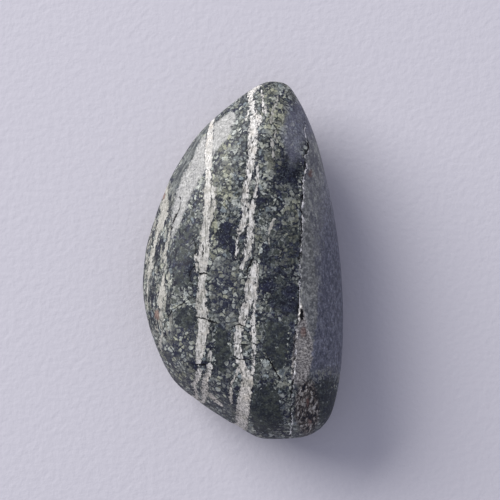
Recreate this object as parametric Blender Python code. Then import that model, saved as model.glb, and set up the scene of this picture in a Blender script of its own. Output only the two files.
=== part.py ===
"""A tumbled piece of banded serpentine, lying on its flat spot.

Blender 4.5, metres, +Z up. The stone's length runs along Y, its narrow tip at +Y, and the origin is under the
middle of its box, on the surface that it rests on. Run it with blender --background --python part.py.
"""

import math

import bmesh
import bpy
import numpy as np
from mathutils import Vector, noise

# Driving dimensions, in millimetres
LENGTH = 38.0
THICKNESS = 11.2
RIM_HEIGHT = 4.9
KEEL_DEPTH = 5.15

# The stone's outline seen from above, from the tip clockwise, in millimetres from the middle of its box
OUTLINE = (
    (3.05, 19.00),
    (4.75, 18.68),
    (5.50, 17.65),
    (6.55, 15.80),
    (7.80, 12.70),
    (8.75, 9.10),
    (9.70, 4.70),
    (10.35, -0.20),
    (10.64, -5.80),
    (10.45, -10.75),
    (9.86, -14.55),
    (8.85, -17.25),
    (6.95, -18.65),
    (3.90, -19.00),
    (1.62, -18.90),
    (-0.75, -17.65),
    (-2.65, -16.55),
    (-4.65, -15.20),
    (-7.30, -12.95),
    (-8.95, -9.90),
    (-10.20, -6.10),
    (-10.68, -2.60),
    (-10.30, 1.50),
    (-9.35, 4.70),
    (-7.90, 8.50),
    (-5.65, 12.30),
    (-4.10, 14.15),
    (-2.65, 15.50),
    (-0.30, 17.35),
    (1.70, 18.65),
)
STEPS_PER_OUTLINE_POINT = 10

# The rays that place the surface start here, inside the stone
HEART = np.array((0.6, -1.5, RIM_HEIGHT))

# Worn flats: the compass bearing each one faces (0 is +X, 90 is +Y), its tilt from straight up in degrees,
# and its distance from the heart in millimetres
FLATS = {
    "crown": (200, 4, 6.0),
    "right flank": (5, 52, 8.35),
    "right shoulder": (38, 34, 10.6),
    "tip shoulder": (82, 38, 15.2),
    "left flank": (164, 46, 8.6),
    "upper left flank": (140, 50, 11.2),
    "lower left side": (232, 66, 11.3),
    "foot end": (275, 62, 16.2),
    "lower right corner": (318, 48, 14.6),
    "under left": (190, 137, 8.3),
    "under right": (350, 142, 8.0),
    "under tip": (85, 150, 10.8),
    "under foot": (262, 146, 11.6),
}
BODY_ROUNDNESS = 2.35
EDGE_SHARPNESS = 15.0

# Broad swells that tumbling leaves on the flats
SWELL_SPACING = 5.5
SWELL_HEIGHT = 0.16

# The long crack that parts the crown from the right flank: its line from the tip to the foot end.
# Above CRACK_TOP the line only guides the mesh.
CRACK_LINE = (
    (3.35, 19.00),
    (4.30, 17.60),
    (5.60, 16.00),
    (6.85, 14.30),
    (7.05, 12.70),
    (6.65, 11.15),
    (6.40, 9.00),
    (6.15, 6.35),
    (6.05, 2.15),
    (6.00, -2.10),
    (5.90, -4.75),
    (5.55, -7.35),
    (5.35, -11.05),
    (5.10, -13.70),
    (5.05, -16.90),
    (4.95, -18.80),
)
CRACK_TOP = 14.3
CRACK_FADE = 0.8

# The crack's section: sideways offset from its line and drop below the worn surface
CRACK_SECTION = (
    (-0.42, 0.00),
    (-0.16, 0.05),
    (0.00, 0.30),
    (0.15, 0.13),
    (0.50, 0.05),
)
LEDGE_FADE = 1.6

# Pits broken out of the surface along the crack: centre, half length, half width and depth
PITS = (
    (7.20, 13.10, 0.85, 0.32, 0.38),
    (5.75, -5.35, 0.75, 0.26, 0.30),
    (5.35, -12.10, 0.50, 0.24, 0.18),
)

# Mesh columns left and right of the crack, rows along the length, and layers round the rim
COLUMNS_LEFT = 17
COLUMNS_RIGHT = 3
ROWS = 52
LAYERS = 8

# Half the height of the rim's layers against half the stone's length
LAYER_SPREAD = 0.17

# Edges shorter than this round the resting flat are welded away, in millimetres
SHORTEST_EDGE = 0.2

STONE_COLOUR = (0.12, 0.14, 0.13, 1.0)
STONE_ROUGHNESS = 0.28


def smooth_loop(points, steps):
    """A closed smooth curve through the points."""
    points = np.array(points)
    before = np.roll(points, 1, axis=0)
    after = np.roll(points, -1, axis=0)
    beyond = np.roll(points, -2, axis=0)
    curve = []
    for t in np.arange(steps) / steps:
        curve.append(
            0.5
            * (
                2 * points
                + (after - before) * t
                + (2 * before - 5 * points + 4 * after - beyond) * t**2
                + (3 * points - before - 3 * after + beyond) * t**3
            )
        )
    return np.stack(curve, axis=1).reshape(-1, 2)


def rim_by_bearing():
    """The outline as bearings from the heart, in rising order, and its reach at each one."""
    loop = smooth_loop(OUTLINE, STEPS_PER_OUTLINE_POINT) - HEART[:2]
    bearing = np.arctan2(loop[:, 1], loop[:, 0])
    order = np.argsort(bearing)
    return bearing[order], np.hypot(loop[:, 0], loop[:, 1])[order]


RIM_BEARING, RIM_REACH = rim_by_bearing()


def rim_reach(bearing):
    return np.interp(bearing, RIM_BEARING, RIM_REACH, period=2 * math.pi)


def flat_directions():
    """Each flat's outward direction and its distance from the heart."""
    bearing, tilt, distance = np.array(list(FLATS.values())).T
    bearing = np.radians(bearing)
    tilt = np.radians(tilt)
    across = np.sin(tilt)
    facing = (across * np.cos(bearing), across * np.sin(bearing), np.cos(tilt))
    return np.stack(facing, axis=1), distance


def body_reach(rays):
    """How far the worn body reaches along each ray: a rounded lens, cut by the flats with soft edges."""
    plan = np.hypot(rays[:, 0], rays[:, 1])
    rim = rim_reach(np.arctan2(rays[:, 1], rays[:, 0]))
    rise = np.where(rays[:, 2] > 0, THICKNESS - RIM_HEIGHT, KEEL_DEPTH)
    lens = (plan / rim) ** BODY_ROUNDNESS + (np.abs(rays[:, 2]) / rise) ** BODY_ROUNDNESS
    total = lens ** (EDGE_SHARPNESS / BODY_ROUNDNESS)
    facing, distance = flat_directions()
    toward = np.maximum(rays @ facing.T, 0) / distance
    total += (toward**EDGE_SHARPNESS).sum(axis=1)
    return total ** (-1 / EDGE_SHARPNESS)


def rim_stretch():
    """By bearing, what brings the body's widest reach back onto the outline."""
    bearing = np.linspace(-math.pi, math.pi, 241)
    rise = np.radians(np.linspace(-55, 55, 56))
    around, up = np.meshgrid(bearing, rise, indexing="ij")
    rays = np.stack(
        (np.cos(up) * np.cos(around), np.cos(up) * np.sin(around), np.sin(up)), axis=2
    )
    reach = body_reach(rays.reshape(-1, 3)).reshape(around.shape)
    widest = (reach * np.cos(up)).max(axis=1)
    return bearing, rim_reach(bearing) / widest


STRETCH_BEARING, STRETCH = rim_stretch()


def worn_surface(rays):
    """The points where rays from the heart leave the worn body, crack and pits left out."""
    rays = rays / np.linalg.norm(rays, axis=1, keepdims=True)
    points = rays * body_reach(rays)[:, None]
    bearing = np.arctan2(rays[:, 1], rays[:, 0])
    points[:, :2] *= np.interp(bearing, STRETCH_BEARING, STRETCH, period=2 * math.pi)[:, None]
    return points + HEART


def cube_to_ray(cube):
    """Rays for points of the unit cube's surface, spread evenly over a ball of the stone's proportions."""
    square = cube**2
    x, y, z = square.T
    ball = cube * np.sqrt(
        np.stack(
            (
                1 - y / 2 - z / 2 + y * z / 3,
                1 - z / 2 - x / 2 + z * x / 3,
                1 - x / 2 - y / 2 + x * y / 3,
            ),
            axis=1,
        )
    )
    return ball * (0.56, 1, LAYER_SPREAD)


def crack_x(y):
    line = np.array(CRACK_LINE)[::-1]
    return np.interp(y, line[:, 1], line[:, 0])


def columns_of_row(y, z):
    """The cube's x for each mesh column of the row at y, z, with columns laid along the crack."""
    offsets = np.array(CRACK_SECTION)[:, 0]
    even = np.linspace(-1, 1, COLUMNS_LEFT + COLUMNS_RIGHT + len(offsets))
    if z <= 0:
        return even
    x = np.linspace(-1, 1, 321)
    row = np.stack((x, np.full_like(x, y), np.full_like(x, z)), axis=1)
    points = worn_surface(cube_to_ray(row))
    sideways = points[:, 0] - crack_x(points[:, 1])
    on_crack = np.interp(offsets, sideways, x)
    left = np.linspace(-1, on_crack[0], COLUMNS_LEFT + 1)[:-1]
    right = np.linspace(on_crack[-1], 1, COLUMNS_RIGHT + 1)[1:]
    laid = np.concatenate((left, on_crack, right))
    room = np.clip((sideways[-1] - offsets[-1]) / COLUMNS_RIGHT / 0.4, 0, 1)
    return even + (laid - even) * room * z


def swell(points):
    """Broad low swells and hollows, as a height over the worn surface."""
    heights = [noise.noise(Vector(p) / SWELL_SPACING) for p in points]
    return SWELL_HEIGHT * np.array(heights)


def crack_drop(points):
    """How far the crack and its ledge lower each point of the upper side."""
    sideways = points[:, 0] - crack_x(points[:, 1])
    offsets, drops = np.array(CRACK_SECTION).T
    offsets = np.append(offsets, offsets[-1] + LEDGE_FADE)
    drops = np.append(drops, 0.0)
    drop = np.interp(sideways, offsets, drops)
    length_share = np.clip((CRACK_TOP - points[:, 1]) / CRACK_FADE, 0, 1)
    upper_share = np.clip((points[:, 2] - RIM_HEIGHT) / CRACK_FADE, 0, 1)
    wander = 0.75 + 0.25 * np.sin(points[:, 1] * 2.1) * np.cos(points[:, 1] * 0.9)
    return drop * length_share * upper_share * wander


def pit_drop(points):
    """How far the broken-out pits lower each point of the upper side."""
    drop = np.zeros(len(points))
    for x, y, half_length, half_width, depth in PITS:
        across = (points[:, 0] - x) / half_width
        along = (points[:, 1] - y) / half_length
        inside = np.clip(1 - across**2 - along**2, 0, 1)
        drop = np.maximum(drop, depth * np.sqrt(inside))
    return np.where(points[:, 2] > RIM_HEIGHT, drop, 0)


def surface_points(cube):
    """Points of the finished surface for points of the unit cube."""
    rays = cube_to_ray(cube)
    worn = worn_surface(rays)
    worn[:, 2] += swell(worn) - crack_drop(worn) - pit_drop(worn)
    return worn


def grid_faces(columns, rows, layers):
    """Every lattice point on a box's surface, and the faces between them, turned outward."""
    faces = []
    for j in range(rows):
        for i in range(columns):
            faces.append(((i, j, 0), (i, j + 1, 0), (i + 1, j + 1, 0), (i + 1, j, 0)))
            top = ((i, j), (i + 1, j), (i + 1, j + 1), (i, j + 1))
            faces.append(tuple((*corner, layers) for corner in top))
        for k in range(layers):
            faces.append(((0, j, k), (0, j, k + 1), (0, j + 1, k + 1), (0, j + 1, k)))
            side = ((j, k), (j + 1, k), (j + 1, k + 1), (j, k + 1))
            faces.append(tuple((columns, *corner) for corner in side))
    for k in range(layers):
        for i in range(columns):
            faces.append(((i, 0, k), (i + 1, 0, k), (i + 1, 0, k + 1), (i, 0, k + 1)))
            faces.append(((i, rows, k), (i, rows, k + 1), (i + 1, rows, k + 1), (i + 1, rows, k)))
    return sorted({corner for face in faces for corner in face}), faces


def stone_mesh():
    """The whole stone as one closed mesh, in millimetres, before its resting flat is cut."""
    columns = COLUMNS_LEFT + COLUMNS_RIGHT + len(CRACK_SECTION) - 1
    corners, faces = grid_faces(columns, ROWS, LAYERS)
    rows = np.linspace(-1, 1, ROWS + 1)
    layers = np.linspace(-1, 1, LAYERS + 1)
    laid = {}
    for i, j, k in corners:
        if (j, k) not in laid:
            laid[j, k] = columns_of_row(rows[j], layers[k])
    cube = np.array([(laid[j, k][i], rows[j], layers[k]) for i, j, k in corners])
    points = surface_points(cube)
    mesh = bmesh.new()
    made = {corner: mesh.verts.new(p) for corner, p in zip(corners, points)}
    for face in faces:
        mesh.faces.new([made[corner] for corner in face])
    return mesh


def cut_resting_flat(mesh):
    """Cuts the keel off level at the surface that the stone rests on, and closes the cut."""
    everything = mesh.verts[:] + mesh.edges[:] + mesh.faces[:]
    cut = bmesh.ops.bisect_plane(
        mesh,
        geom=everything,
        dist=0.000001,
        plane_co=(0, 0, 0),
        plane_no=(0, 0, -1),
        clear_outer=True,
    )
    rim = [part for part in cut["geom_cut"] if isinstance(part, bmesh.types.BMVert)]
    welds = {}
    kept = set()
    for vert in rim:
        vert.co.z = 0
        if vert in welds:
            continue
        kept.add(vert)
        for edge in vert.link_edges:
            other = edge.other_vert(vert)
            if edge.calc_length() < SHORTEST_EDGE and other not in kept and other not in welds:
                welds[other] = vert
    bmesh.ops.weld_verts(mesh, targetmap=welds)
    bmesh.ops.contextual_create(mesh, geom=[edge for edge in mesh.edges if edge.is_boundary])


def centre_on_origin(mesh):
    """Puts the middle of the box over the origin, and sets length and thickness exactly."""
    points = np.array([v.co for v in mesh.verts])
    low, high = points.min(axis=0), points.max(axis=0)
    middle = Vector(((low[0] + high[0]) / 2, (low[1] + high[1]) / 2, 0))
    to_length = LENGTH / (high[1] - low[1])
    to_thickness = THICKNESS / high[2]
    bmesh.ops.translate(mesh, verts=mesh.verts, vec=-middle)
    bmesh.ops.scale(mesh, verts=mesh.verts, vec=(to_length, to_length, to_thickness))


def stone_material():
    material = bpy.data.materials.new("polished serpentine")
    material.use_nodes = True
    shader = material.node_tree.nodes["Principled BSDF"]
    shader.inputs["Base Color"].default_value = STONE_COLOUR
    shader.inputs["Roughness"].default_value = STONE_ROUGHNESS
    shader.inputs["Metallic"].default_value = 0.0
    return material


def make_stone():
    mesh = stone_mesh()
    cut_resting_flat(mesh)
    centre_on_origin(mesh)
    bmesh.ops.scale(mesh, verts=mesh.verts, vec=(0.001, 0.001, 0.001))
    bmesh.ops.recalc_face_normals(mesh, faces=mesh.faces)
    data = bpy.data.meshes.new("serpentine_stone")
    mesh.to_mesh(data)
    mesh.free()
    data.shade_smooth()
    data.set_sharp_from_angle(angle=math.radians(35))
    data.materials.append(stone_material())
    stone = bpy.data.objects.new("serpentine_stone", data)
    bpy.context.scene.collection.objects.link(stone)


for old in list(bpy.data.objects):
    bpy.data.objects.remove(old)
make_stone()
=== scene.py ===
# %% [markdown]
# # A tumbled serpentine rock
# This lesson dresses one real thing: a pebble of banded serpentine, 38 mm long, that a tumbler has
# worn smooth. It is a single piece of rock, so the lesson makes one piece of mesh and one material.
# The packed model gives the stone's form and place, and everything here is fitted to it.

# %% Load the packed stone
import math
import bpy
import bmesh
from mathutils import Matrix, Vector


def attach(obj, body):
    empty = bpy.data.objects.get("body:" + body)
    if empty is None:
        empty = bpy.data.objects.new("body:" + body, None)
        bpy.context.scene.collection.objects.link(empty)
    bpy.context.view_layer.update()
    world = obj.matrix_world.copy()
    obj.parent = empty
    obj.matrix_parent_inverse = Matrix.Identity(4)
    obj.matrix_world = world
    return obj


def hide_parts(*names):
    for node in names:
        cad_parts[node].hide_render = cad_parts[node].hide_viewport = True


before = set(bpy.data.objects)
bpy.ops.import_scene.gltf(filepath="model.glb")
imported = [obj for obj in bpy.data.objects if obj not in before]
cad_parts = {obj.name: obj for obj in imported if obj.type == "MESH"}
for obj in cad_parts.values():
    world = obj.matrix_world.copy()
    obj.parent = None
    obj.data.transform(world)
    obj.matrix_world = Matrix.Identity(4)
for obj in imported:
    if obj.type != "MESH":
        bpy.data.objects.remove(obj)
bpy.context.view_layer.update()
MM = 0.001

# %% [markdown]
# ## The polished body
# Tumbling leaves soft faces that run into one another. The packed stone already has those faces, as
# flat triangles a millimetre across. They could be smoothed by a remesh or by sculpting, but both
# would move the outline. A merged copy with a Subdivision Surface keeps every vertex of the form as
# a control point and only rounds the surface between them, so that is the way taken.

# %% Copy, merge and subdivide
DOUBLE_DISTANCE = 0.001 * MM
PAIR_FACE_ANGLE = math.radians(50)
PAIR_SHAPE_ANGLE = math.radians(60)
SMOOTH_LEVELS = 2


def merged_copy(node_name, piece_name):
    """A new object with the node's triangles merged and joined in pairs into quads."""
    work = bmesh.new()
    work.from_mesh(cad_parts[node_name].data)
    bmesh.ops.remove_doubles(work, verts=work.verts, dist=DOUBLE_DISTANCE)
    bmesh.ops.join_triangles(work, faces=work.faces, angle_face_threshold=PAIR_FACE_ANGLE,
                             angle_shape_threshold=PAIR_SHAPE_ANGLE)
    mesh = bpy.data.meshes.new(piece_name)
    work.to_mesh(mesh)
    work.free()
    piece = bpy.data.objects.new(piece_name, mesh)
    bpy.context.scene.collection.objects.link(piece)
    return piece


stone = merged_copy("serpentine_stone", "polished_stone")
smooth = stone.modifiers.new("worn_smooth", "SUBSURF")
smooth.levels = smooth.render_levels = SMOOTH_LEVELS
print("control mesh:", len(stone.data.vertices), "vertices,", len(stone.data.polygons), "faces")

# %% [markdown]
# ## Short words for nodes
# The same pattern is needed twice: in Geometry Nodes, where it presses the relief into the mesh,
# and in the shader, where it gives the colours. Math, Float Curve, Noise and Voronoi nodes exist
# in both kinds of tree, so one small class that adds nodes and returns their outputs serves both.

# %% The node writer


class Wiring:
    """Adds nodes to one tree. Every call returns an output for the next call to read."""

    def __init__(self, tree):
        self.tree = tree

    def node(self, kind, inputs=None, **settings):
        new = self.tree.nodes.new(kind)
        for name, value in settings.items():
            setattr(new, name, value)
        for key, value in (inputs or {}).items():
            if isinstance(value, bpy.types.NodeSocket):
                self.tree.links.new(value, new.inputs[key])
            else:
                new.inputs[key].default_value = value
        return new

    def math(self, operation, *values):
        return self.node("ShaderNodeMath", dict(enumerate(values)), operation=operation).outputs[0]

    def vector(self, operation, *values, output=0):
        made = self.node("ShaderNodeVectorMath", dict(enumerate(values)), operation=operation)
        return made.outputs[output]

    def times(self, vector, factor):
        return self.node("ShaderNodeVectorMath", {0: vector, "Scale": factor},
                         operation="SCALE").outputs[0]

    def parts(self, vector):
        return self.node("ShaderNodeSeparateXYZ", {0: vector}).outputs

    def join(self, x, y, z):
        return self.node("ShaderNodeCombineXYZ", {0: x, 1: y, 2: z}).outputs[0]

    def step(self, value, low, high, start=0.0, end=1.0):
        """Goes softly from start to end while value goes from low to high."""
        inputs = {0: value, 1: low, 2: high, 3: start, 4: end}
        return self.node("ShaderNodeMapRange", inputs, interpolation_type="SMOOTHSTEP").outputs[0]

    def noise(self, where, per_mm, detail=2.0, roughness=0.5, output=0):
        inputs = {"Vector": where, "Scale": per_mm, "Detail": detail, "Roughness": roughness}
        return self.node("ShaderNodeTexNoise", inputs).outputs[output]

    def stretched(self, where, across, along, detail=3.0, roughness=0.6):
        """Noise with its own number of waves to a millimetre across and along the stone."""
        squeezed = self.vector("MULTIPLY", where, (across, along, across))
        return self.noise(squeezed, 1.0, detail, roughness)

    def bend(self, where, per_mm, reach, detail=2.0, roughness=0.5):
        """The place moved about by noise, by up to half of reach, in mm."""
        shift = self.noise(where, per_mm, detail, roughness, 1)
        push = self.vector("SUBTRACT", shift, (0.5, 0.5, 0.5))
        return self.vector("ADD", where, self.times(push, reach))

    def cells(self, where, per_mm, feature="F1"):
        inputs = {"Vector": where, "Scale": per_mm}
        return self.node("ShaderNodeTexVoronoi", inputs, feature=feature).outputs

    def blend(self, factor, under, over, kind="MIX"):
        inputs = {0: factor, 6: under, 7: over}
        made = self.node("ShaderNodeMix", inputs, data_type="RGBA", blend_type=kind)
        return made.outputs[2]

    def shaded(self, colour, strength):
        """The colour made darker or lighter, its hue kept."""
        return self.blend(1.0, colour, self.join(strength, strength, strength), "MULTIPLY")

    def curve(self, value, points):
        """A Float Curve through (value, result) points, both from 0 to 1."""
        made = self.node("ShaderNodeFloatCurve", {1: value})
        made.mapping.extend = "HORIZONTAL"
        line = made.mapping.curves[0]
        while len(line.points) < len(points):
            line.points.new(0.5, 0.5)
        for point, (at, result) in zip(line.points, points):
            point.location = (at, result)
            point.handle_type = "AUTO_CLAMPED"
        made.mapping.update()
        return made.outputs[0]


print("calls of the node writer:", [name for name in vars(Wiring) if not name.startswith("_")])

# %% [markdown]
# ## A map of the veins
# Veins are cracks in the rock that filled with pale mineral, so they run as thin sheets through the
# whole stone, nearly along its length. They could be painted, but a painted stripe has no width
# that nodes can use. Here each vein is a short table: rows of place along the stone, place across
# it and half its width there, in millimetres, read from the stone's tip to its foot.

# %% Veins of the tip and the middle
MIDDLE_VEINS = {
    "tip hook": (
        (18.6, 2.11, 0.10), (18.3, 1.58, 0.26), (17.8, 1.00, 0.34), (17.3, 0.79, 0.30),
        (16.7, 0.90, 0.28), (16.1, 1.03, 0.24),
    ),
    "tip left shoot": (
        (16.1, 0.79, 0.08), (15.6, 0.64, 0.13), (15.0, 0.43, 0.13), (14.4, 0.22, 0.08),
    ),
    "tip middle shoot": (
        (17.9, 1.95, 0.06), (17.2, 2.05, 0.10), (16.5, 2.10, 0.10), (15.9, 2.26, 0.22),
        (15.4, 2.31, 0.10),
    ),
    "tip streak": (
        (17.4, 3.70, 0.04), (16.7, 3.56, 0.08), (15.8, 3.26, 0.12), (15.0, 3.02, 0.14),
        (14.2, 2.84, 0.08),
    ),
    "tip streak, lower": ((13.7, 3.32, 0.05), (13.0, 3.38, 0.10), (12.1, 3.42, 0.07)),
    "tip streak, last": (
        (12.6, 3.05, 0.05), (11.8, 3.08, 0.08), (11.0, 3.13, 0.07), (10.3, 3.17, 0.04),
    ),
    "hook on the right": (
        (15.2, 1.63, 0.13), (14.8, 1.71, 0.23), (14.2, 1.68, 0.17), (13.9, 1.63, 0.06),
    ),
    "central vein, upper": (
        (16.1, 1.03, 0.20), (15.7, 1.10, 0.30), (14.9, 1.17, 0.44), (13.9, 1.08, 0.45),
        (12.9, 1.03, 0.48), (11.8, 1.00, 0.50), (10.7, 0.92, 0.46), (9.8, 0.79, 0.38),
        (9.1, 0.69, 0.38), (8.4, 0.53, 0.33), (7.3, 0.33, 0.34), (6.6, 0.22, 0.36),
        (5.6, 0.35, 0.38), (4.6, 0.17, 0.38), (3.6, -0.04, 0.32), (2.8, -0.35, 0.21),
        (1.9, -0.61, 0.15), (1.1, -0.71, 0.13), (-0.2, -0.71, 0.08),
    ),
    "central vein, right branch": (
        (9.9, 1.52, 0.06), (9.0, 1.50, 0.15), (7.5, 1.43, 0.19), (6.6, 1.15, 0.24),
        (5.7, 0.97, 0.28), (4.4, 0.86, 0.28), (3.3, 0.82, 0.34), (2.0, 0.68, 0.40),
        (1.1, 0.51, 0.42), (0.4, 0.38, 0.36), (-0.2, 0.07, 0.25), (-0.8, -0.19, 0.16),
    ),
    "central vein, lower": (
        (-0.1, 1.26, 0.15), (-1.0, 1.20, 0.42), (-2.1, 0.95, 0.58), (-3.1, 0.82, 0.64),
        (-4.2, 0.56, 0.56), (-5.3, 0.17, 0.47), (-6.3, -0.14, 0.42), (-7.4, -0.42, 0.42),
        (-8.4, -0.56, 0.34), (-9.3, -0.50, 0.34), (-10.3, -0.30, 0.42), (-11.3, 0.05, 0.46),
        (-12.4, 0.44, 0.58), (-13.6, 0.26, 0.66), (-14.8, 0.06, 0.68), (-15.9, -0.04, 0.68),
        (-16.9, -0.17, 0.64), (-17.9, -0.20, 0.60), (-18.5, -0.10, 0.50),
    ),
    "central vein, thin strand": (
        (-3.3, 1.36, 0.08), (-4.5, 1.24, 0.15), (-5.9, 1.05, 0.19), (-7.2, 1.05, 0.21),
        (-8.4, 1.11, 0.21), (-9.9, 1.15, 0.16), (-10.7, 1.11, 0.19), (-11.5, 1.00, 0.19),
        (-12.3, 0.79, 0.17),
    ),
    "leaf streak": ((4.3, 3.21, 0.05), (3.5, 2.92, 0.10), (2.6, 2.69, 0.10), (1.8, 2.74, 0.06)),
    "foot strand": (
        (-11.2, -0.50, 0.14), (-11.9, -0.75, 0.14), (-12.6, -1.10, 0.10), (-13.2, -1.25, 0.14),
        (-13.9, -1.25, 0.18), (-14.9, -1.15, 0.08),
    ),
}
print(len(MIDDLE_VEINS), "veins at the tip and in the middle")

# %% Veins left of the middle
LEFT_VEINS = {
    # The ridge strip is a pale vein made brighter as a painted highlight on the ridge.
    "ridge strip and highlight": (
        (15.2, -3.07, 0.06), (14.3, -3.35, 0.20), (13.0, -3.48, 0.33), (11.6, -3.56, 0.38),
        (10.5, -3.58, 0.38), (9.6, -3.58, 0.30),
    ),
    "left vein": (
        (9.6, -3.60, 0.15), (9.0, -3.60, 0.28), (7.8, -3.62, 0.38), (6.3, -3.64, 0.42),
        (4.7, -3.64, 0.44), (3.7, -3.80, 0.46), (2.6, -3.91, 0.50), (1.2, -4.03, 0.56),
        (-0.1, -4.11, 0.50), (-1.0, -4.14, 0.42), (-1.8, -4.19, 0.38), (-2.6, -4.24, 0.42),
        (-4.1, -4.32, 0.50), (-5.3, -4.24, 0.56), (-7.0, -4.14, 0.54), (-8.2, -4.30, 0.50),
        (-9.2, -4.45, 0.46), (-10.2, -4.55, 0.38), (-10.8, -4.62, 0.15),
    ),
    "left vein, spur": ((-9.2, -3.35, 0.10), (-9.8, -3.42, 0.20), (-10.5, -3.40, 0.14)),
    "left vein, right side": (
        (8.0, -3.16, 0.10), (7.1, -3.05, 0.20), (6.1, -3.04, 0.22), (5.0, -3.14, 0.19),
        (4.0, -3.36, 0.10),
    ),
    "left vein, foot": (
        (-10.7, -3.45, 0.15), (-11.3, -3.53, 0.30), (-11.8, -3.66, 0.32), (-12.6, -3.94, 0.36),
        (-13.2, -4.00, 0.38), (-13.7, -4.02, 0.37), (-14.3, -4.07, 0.32), (-15.1, -4.25, 0.20),
    ),
    "left vein, loop": (
        (-11.2, -4.55, 0.12), (-11.6, -4.59, 0.28), (-12.3, -4.68, 0.28), (-12.7, -5.03, 0.28),
        (-13.4, -5.12, 0.16), (-14.0, -4.97, 0.17), (-14.6, -4.76, 0.20), (-15.0, -4.60, 0.15),
    ),
    "pale drop": ((0.7, -4.89, 0.08), (0.1, -4.87, 0.16), (-0.7, -4.87, 0.16), (-1.3, -4.85, 0.05)),
    "foot streak": (
        (-13.9, -3.62, 0.16), (-14.4, -3.17, 0.28), (-14.9, -2.65, 0.28), (-15.3, -2.20, 0.14),
    ),
}
print(len(LEFT_VEINS), "veins left of the middle")

# %% Veins of the left flank
FLANK_VEINS = {
    "flank cream": (
        (8.5, -7.84, 0.14), (7.8, -8.04, 0.26), (6.8, -8.18, 0.36), (5.8, -8.27, 0.46),
        (4.9, -8.37, 0.50), (3.9, -8.63, 0.50), (3.0, -8.94, 0.36), (2.0, -9.20, 0.28),
        (1.1, -9.41, 0.28), (0.3, -9.62, 0.34), (-0.6, -9.72, 0.36), (-1.5, -9.86, 0.26),
        (-2.4, -9.97, 0.20), (-3.2, -10.07, 0.20), (-4.2, -10.09, 0.12), (-5.0, -10.03, 0.04),
    ),
    "flank vein": (
        (5.1, -7.62, 0.08), (3.4, -7.64, 0.13), (2.4, -7.79, 0.22), (1.3, -8.00, 0.25),
        (0.3, -8.10, 0.20), (-0.8, -8.14, 0.17), (-1.7, -8.30, 0.22), (-2.6, -8.46, 0.40),
        (-3.4, -8.54, 0.46), (-4.2, -8.60, 0.42), (-5.1, -8.61, 0.24), (-5.9, -8.61, 0.18),
        (-6.6, -8.60, 0.10), (-7.2, -8.46, 0.10), (-7.8, -8.52, 0.18), (-8.4, -8.64, 0.22),
        (-9.1, -8.69, 0.18), (-9.6, -8.58, 0.08),
    ),
    "flank loop": (
        (-6.0, -8.88, 0.08), (-6.4, -9.10, 0.15), (-7.0, -9.16, 0.17), (-7.4, -8.90, 0.12),
    ),
    "rim streak": (
        (3.7, -9.64, 0.04), (2.6, -9.82, 0.13), (1.6, -9.98, 0.12), (0.7, -10.08, 0.14),
        (-0.4, -10.26, 0.06),
    ),
}
CROWN_VEINS = [*MIDDLE_VEINS.values(), *LEFT_VEINS.values()]
CREAM_VEINS = [*CROWN_VEINS, *FLANK_VEINS.values()]
print(len(FLANK_VEINS), "veins on the left flank,", len(CREAM_VEINS), "in all")

# %% Wide bands
# The silver band is a pale vein with a painted reflection over it; the rim band is a painted
# reflection on the steep left rim.
SILVER_VEIN_AND_REFLECTION = (
    (15.5, -1.15, 0.31), (15.0, -1.52, 0.84), (14.1, -2.14, 1.15), (12.9, -2.88, 1.38),
    (11.6, -3.80, 1.20), (10.6, -4.30, 1.13), (9.7, -4.82, 1.15), (8.6, -5.43, 1.08),
    (7.1, -6.12, 0.94), (5.3, -6.71, 0.80), (4.0, -7.02, 0.58), (3.1, -7.26, 0.36),
    (2.4, -7.40, 0.12),
)
RIM_REFLECTION_BAND = (
    (15.2, -2.90, 0.20), (14.0, -3.85, 0.30), (12.7, -4.76, 0.36), (11.7, -5.40, 0.46),
    (10.6, -5.96, 0.53), (8.7, -6.85, 0.42), (7.2, -7.40, 0.34), (5.9, -7.80, 0.14),
)
TAN_BAND = (
    (8.4, 6.37, 0.16), (6.3, 6.47, 0.31), (4.2, 6.57, 0.47), (2.1, 6.67, 0.63), (0.6, 6.67, 0.73),
    (-1.5, 6.77, 0.89), (-3.1, 6.82, 0.94), (-4.3, 6.82, 0.97), (-5.3, 6.77, 1.04),
    (-6.7, 6.61, 1.04), (-8.2, 6.35, 1.04), (-9.3, 6.25, 1.04), (-10.5, 6.09, 1.00),
    (-11.6, 6.02, 0.96), (-12.3, 5.88, 0.84), (-12.8, 5.78, 0.52),
)
for title, rows in (("silver", SILVER_VEIN_AND_REFLECTION), ("rim", RIM_REFLECTION_BAND), ("tan", TAN_BAND)):
    print(title, "band, widest:", 2 * max(row[2] for row in rows), "mm")

# %% [markdown]
# ## Cracks on the same map
# The long crack parts the crown from the right flank; the others are hair cracks. Its groove in the
# packed stone is nearly straight, so one table gives the groove, and a second one gives the
# crooked line that the colours follow, with no widths. Most hair cracks run along the stone. The
# ones that run across it have their rows turned: place across, place along, half width.

# %% The long crack
LONG_CRACK = (
    (14.6, 6.60, 0.02), (14.3, 6.85, 0.06), (12.7, 7.05, 0.07), (11.15, 6.65, 0.06),
    (9.0, 6.40, 0.06), (6.35, 6.15, 0.06), (2.15, 6.05, 0.07), (-2.1, 6.00, 0.07),
    (-4.75, 5.90, 0.08), (-7.35, 5.55, 0.07), (-11.05, 5.35, 0.06), (-13.7, 5.10, 0.06),
    (-16.9, 5.05, 0.06), (-18.8, 4.95, 0.06),
)
CRACK_LINE = (
    (14.6, 6.66), (13.7, 6.45), (12.4, 6.77), (11.7, 6.88), (10.8, 6.45), (9.8, 6.61),
    (9.0, 6.35), (8.0, 6.24), (6.7, 6.24), (5.6, 6.08), (4.5, 6.19), (2.7, 6.08), (1.1, 5.98),
    (-0.5, 5.87), (-1.2, 5.98), (-3.1, 5.82), (-4.8, 5.85), (-7.3, 5.55), (-11.0, 5.35),
    (-13.7, 5.10), (-16.9, 5.05), (-18.8, 4.95),
)
CRACK_TOP = 14.4
print("the long crack runs for", round(CRACK_TOP - CRACK_LINE[-1][0], 1), "mm")

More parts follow.
